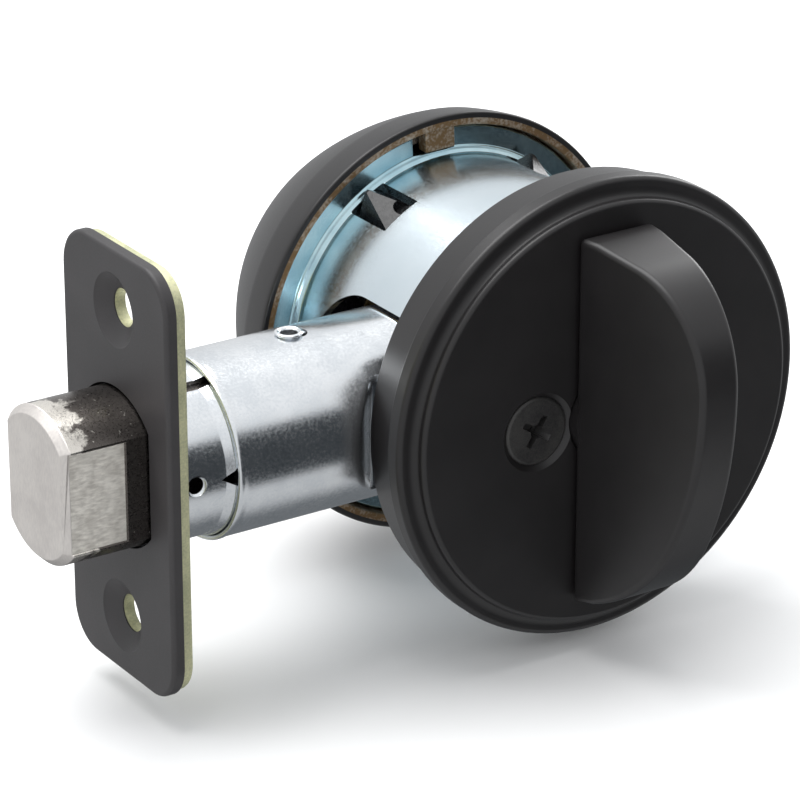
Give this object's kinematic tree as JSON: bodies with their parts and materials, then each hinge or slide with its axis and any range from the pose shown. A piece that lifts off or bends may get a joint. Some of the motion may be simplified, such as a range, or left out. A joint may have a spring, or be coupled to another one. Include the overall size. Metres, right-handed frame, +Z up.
{
  "type": "deadbolt door lock",
  "caption": "Tubular deadbolt lock with a half-moon thumbturn on a round rose, a bolt in a tube with a face plate, and a keyed cylinder in a domed collar.",
  "frame": {"origin": "where the turn axis crosses the bolt axis, at the centre of the door's cross bore", "axes": "-X the way the bolt throws, -Y towards the room side with the thumbturn, +Y towards the keyed outside, +Z up"},
  "size_m": [0.1029, 0.0799, 0.062],
  "materials": {
    "satin_black": "matt powder-like black coat",
    "plate_black": "flat dark coat",
    "screw_black": "thin dark coat over machined steel",
    "yellow_zinc": "pale yellow-green passivated zinc",
    "bright_zinc": "bright zinc plate with a fine grain",
    "blue_zinc": "blue-white passivated zinc",
    "satin_nickel": "satin nickel plate, milled side",
    "black_plastic": "glossy moulded black",
    "plain_steel": "plain steel",
    "hard_steel": "ground hardened steel",
    "spring_steel": "polished spring steel",
    "raw_brass": "machined brass"
  },
  "bodies": {
    "case": {"interior_rose": "satin_black", "exterior_collar": "satin_black", "faceplate": "plate_black", "through_bolts": "screw_black", "backing_plate": "yellow_zinc", "front_tube": "bright_zinc", "rear_tube": "bright_zinc", "tube_rivet": "bright_zinc", "rose_support_plate": "bright_zinc", "turn_spring_washer": "bright_zinc", "housing_cup": "blue_zinc", "cup_insert": "black_plastic", "cam_bearings": "plain_steel", "drill_pins": "hard_steel", "cam_spring": "spring_steel", "collar_spring": "spring_steel", "pin_springs": "spring_steel", "cylinder_shell": "raw_brass", "driver_pins": "raw_brass", "spring_cover": "raw_brass"},
    "bolt": {"deadbolt": "satin_nickel", "bolt_tail": "plain_steel", "tail_rivets": "plain_steel"},
    "turn": {"thumbturn": "satin_black", "turn_retaining_clip": "bright_zinc", "tailpiece": "plain_steel", "bolt_cam": "plain_steel", "cam_pin": "plain_steel"},
    "plug": {"cylinder_plug": "raw_brass", "plug_cap": "raw_brass", "key_pins": "raw_brass"},
    "roller": {"anti_saw_roller": "hard_steel"}
  },
  "joints": [
    {"name": "bolt_throw", "type": "slide", "parent": "case", "child": "bolt", "axis": [-1, 0, 0], "range_m": [-0.0116, 0.0138]},
    {"name": "thumb_turn", "type": "hinge", "parent": "case", "child": "turn", "pos_m": [0, 0, 0], "axis": [0, 1, 0], "range_deg": [-41.5, 49.2]},
    {"name": "key_turn", "type": "hinge", "parent": "case", "child": "plug", "pos_m": [0, 0.02, 0], "axis": [0, 1, 0], "range_deg": [-90, 90]},
    {"name": "roller_spin", "type": "hinge", "parent": "bolt", "child": "roller", "pos_m": [-0.048, 0, 0], "axis": [1, 0, 0], "continuous": true}
  ],
  "couplings": [
    {"joint": "thumb_turn", "follows": "bolt_throw", "rad_per_m": 61.842}
  ]
}
